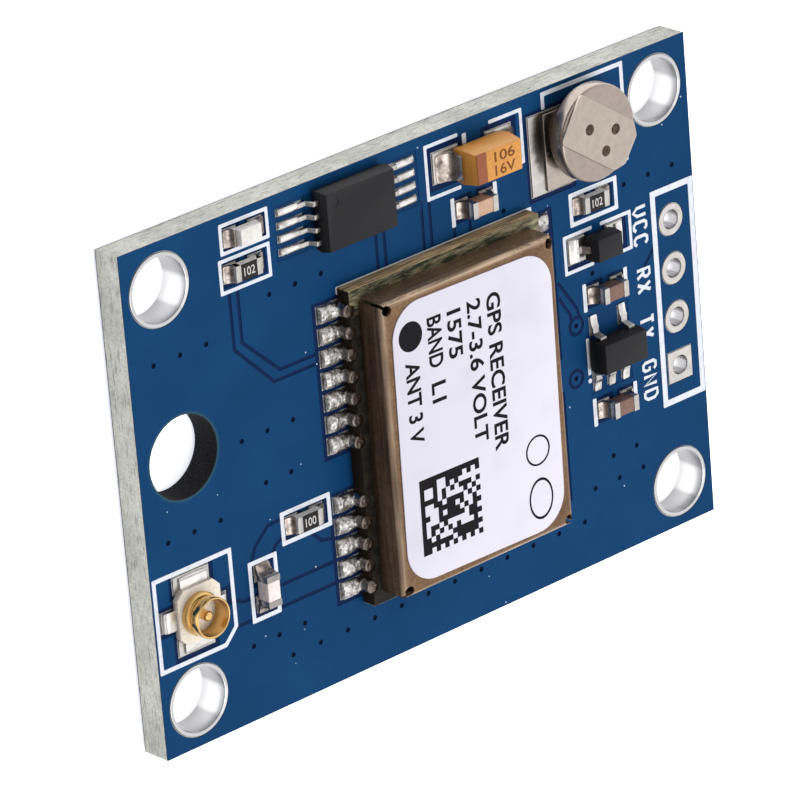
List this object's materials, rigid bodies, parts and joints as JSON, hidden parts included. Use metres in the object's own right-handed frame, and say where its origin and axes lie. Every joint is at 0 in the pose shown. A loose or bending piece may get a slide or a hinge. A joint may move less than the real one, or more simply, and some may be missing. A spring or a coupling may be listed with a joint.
{
  "type": "gps module",
  "caption": "Flat satellite positioning receiver board with a shielded module, backup cell, antenna socket, corner mounting holes and a row of header holes.",
  "frame": {"origin": "middle of the board's back, the face it lies on", "axes": "+X along the board's long side towards the header holes, +Y along its short side towards the backup cell, +Z out of the component side"},
  "size_m": [0.036, 0.0252, 0.0041],
  "materials": {
    "glass_fibre_laminate": "sawn edge with pale fibres",
    "blue_solder_mask": "smooth semi-gloss lacquer",
    "white_ink": "matt print",
    "tin": "bright tinned",
    "solder": "smooth and slightly dull",
    "module_laminate": "matt",
    "tarnished_nickel_silver": "tarnished and brushed",
    "label_film": "matt film",
    "black_epoxy": "moulded, fine matt",
    "crystal_lid": "satin",
    "filter_ceramic": "fired ceramic",
    "inner_chips": "fired ceramic",
    "orange_epoxy": "moulded, semi-gloss",
    "cell_steel": "satin",
    "cell_seal": "matt",
    "white_ceramic": "fired ceramic",
    "lamp_die": "smooth",
    "clear_resin": "clear to milky",
    "resistor_glaze": "glazed",
    "tan_ceramic": "fired ceramic",
    "brown_ceramic": "fired ceramic",
    "pale_ceramic": "fired ceramic",
    "socket_plastic": "moulded",
    "gold": "bright gold plate"
  },
  "bodies": {
    "root": {"board_core": "glass_fibre_laminate", "solder_mask_front": "blue_solder_mask", "solder_mask_back": "blue_solder_mask", "silkscreen": "white_ink", "mounting_hole_plating": "tin", "header_lands": "tin", "solder_lands": "tin", "solder_fillets": "solder", "gps_substrate": "module_laminate", "gps_solder_joints": "solder", "gps_shield": "tarnished_nickel_silver", "gps_label": "label_film", "gps_receiver_chip": "black_epoxy", "gps_oscillator": "crystal_lid", "gps_saw_filter": "filter_ceramic", "gps_passives": "inner_chips", "memory_body": "black_epoxy", "memory_leads": "tin", "tantalum_body": "orange_epoxy", "tantalum_terminals": "tin", "cell_can": "cell_steel", "cell_gasket": "cell_seal", "cell_cap": "cell_steel", "cell_top_tab": "cell_steel", "cell_bottom_tab": "cell_steel", "led_base": "white_ceramic", "led_die": "lamp_die", "led_lens": "clear_resin", "led_terminals": "tin", "resistor_bodies": "white_ceramic", "resistor_coats": "resistor_glaze", "resistor_terminals": "tin", "module_capacitor": "tan_ceramic", "supply_capacitors": "brown_ceramic", "capacitor_terminals": "tin", "inductor_body": "pale_ceramic", "inductor_terminals": "tin", "diode_body": "black_epoxy", "diode_leads": "tin", "regulator_body": "black_epoxy", "regulator_leads": "tin", "socket_base": "socket_plastic", "socket_shell": "gold", "socket_pin": "gold", "socket_tabs": "tin"}
  },
  "joints": []
}
